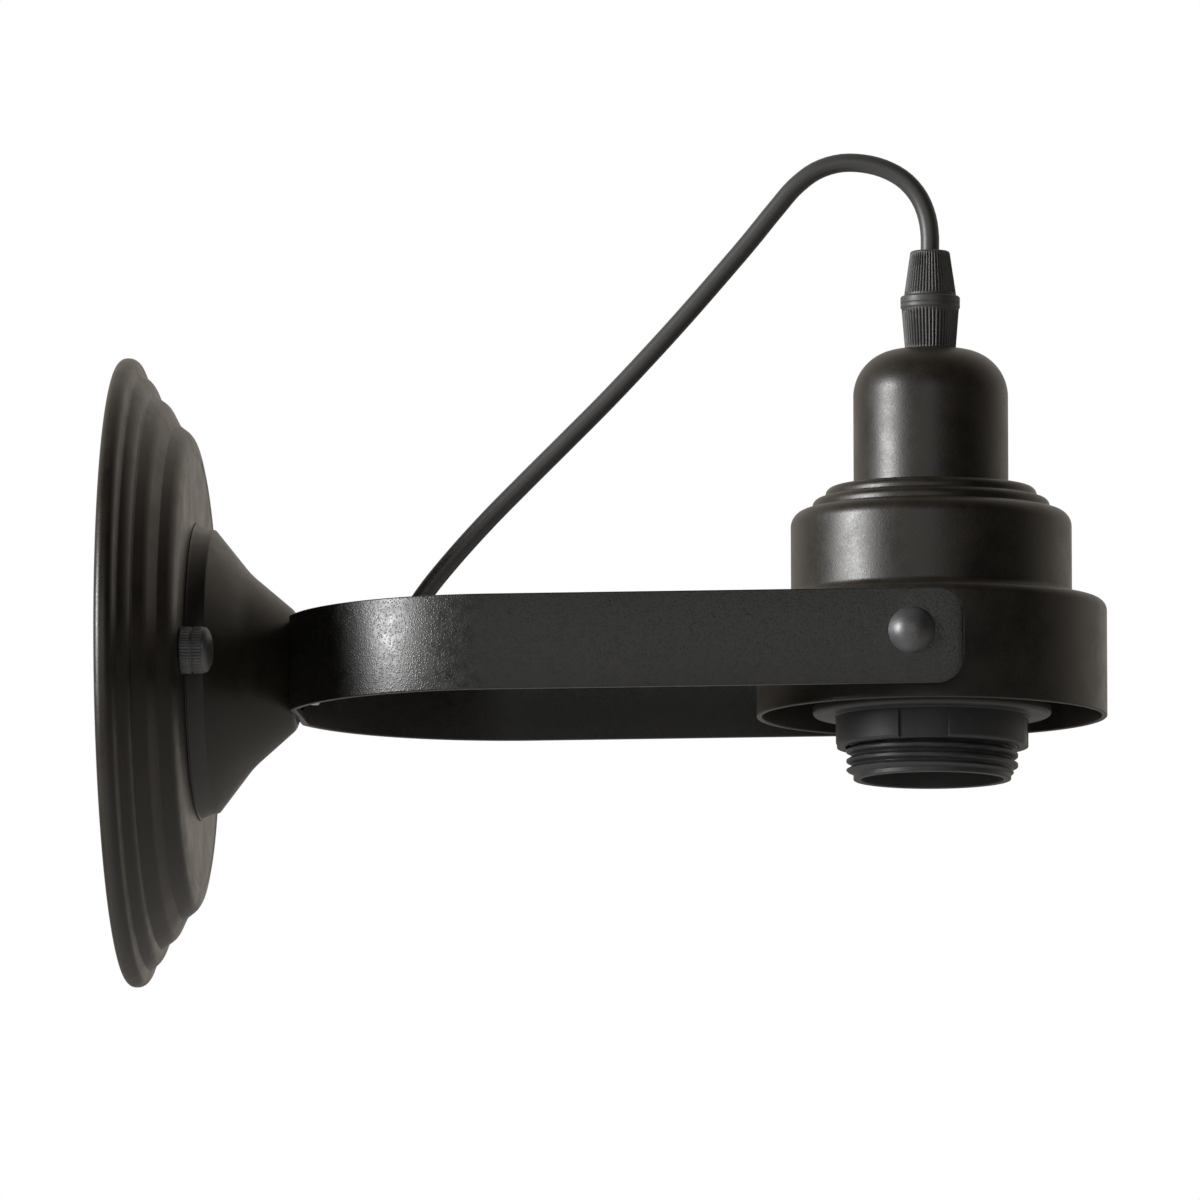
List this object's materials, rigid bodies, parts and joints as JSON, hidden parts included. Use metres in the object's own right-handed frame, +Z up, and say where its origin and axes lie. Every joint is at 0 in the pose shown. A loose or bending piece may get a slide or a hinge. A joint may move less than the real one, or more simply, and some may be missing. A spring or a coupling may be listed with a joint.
{
  "type": "industrial wall sconce",
  "caption": "Wall light with a stepped round wall plate, a U-shaped strap arm, a tilting spun lamp cap with a screw lampholder, and a lead that arches over the arm.",
  "frame": {"origin": "middle of the wall bracket's back face, on the wall, on the axis of the wall plate", "axes": "+X out of the wall along the arm to the lamp head, +Y across the arm along the pivot axis, +Z up to the cord grip"},
  "size_m": [0.2267, 0.1448, 0.1901],
  "materials": {
    "satin_black": "satin black enamel, slightly warm",
    "hammered_black": "fine orange-peel black paint",
    "dark_metal": "satin dark grey",
    "zinc_steel": "zinc plated",
    "brass": "plain",
    "shell_aluminium": "rolled sheet",
    "pale_plastic": "moulded",
    "grip_plastic": "moulded dark grey",
    "holder_plastic": "semi-gloss dark grey",
    "lead_sheath": "matte sheath",
    "core_insulation": "smooth insulation"
  },
  "bodies": {
    "wall_frame": {"wall_plate": "satin_black", "hub_cone": "satin_black", "canopy_nuts": "dark_metal", "arm_strap": "hammered_black", "mounting_bracket": "zinc_steel", "bracket_studs": "zinc_steel", "hub_tube": "zinc_steel", "hub_rear_washer": "zinc_steel", "hub_rear_nut": "zinc_steel", "hub_front_washer": "zinc_steel", "hub_front_nut": "zinc_steel", "earth_screw": "brass", "block_screws": "brass", "terminal_block": "pale_plastic", "cable_bush": "grip_plastic", "hub_lead": "lead_sheath", "supply_lead": "lead_sheath", "hub_cores": "core_insulation"},
    "lamp_head": {"lamp_cap": "satin_black", "pivot_screws": "dark_metal", "pivot_spacers": "dark_metal", "pivot_washers": "zinc_steel", "pivot_nuts": "zinc_steel", "head_tube": "zinc_steel", "cap_washer": "zinc_steel", "cap_nut": "zinc_steel", "cord_grip": "grip_plastic", "grip_clamp_nut": "grip_plastic", "head_lead": "lead_sheath", "head_cores": "core_insulation", "holder_neck_nut": "zinc_steel", "lampholder_cap": "holder_plastic", "lampholder_skirt": "holder_plastic", "contact_carrier": "pale_plastic", "screw_shell": "shell_aluminium", "centre_contact": "brass", "holder_screws": "brass"},
    "ring": {"shade_ring": "holder_plastic"}
  },
  "joints": [
    {"name": "head_tilt", "type": "hinge", "parent": "wall_frame", "child": "lamp_head", "pos_m": [0.1864, 0, 0.0012], "axis": [0, 1, 0], "range_deg": [-60, 15], "deforming": ["supply_lead"]},
    {"name": "ring_unscrew", "type": "slide", "parent": "lamp_head", "child": "ring", "axis": [0, 0, -1], "range_m": [-0.0038, 0.006]}
  ]
}
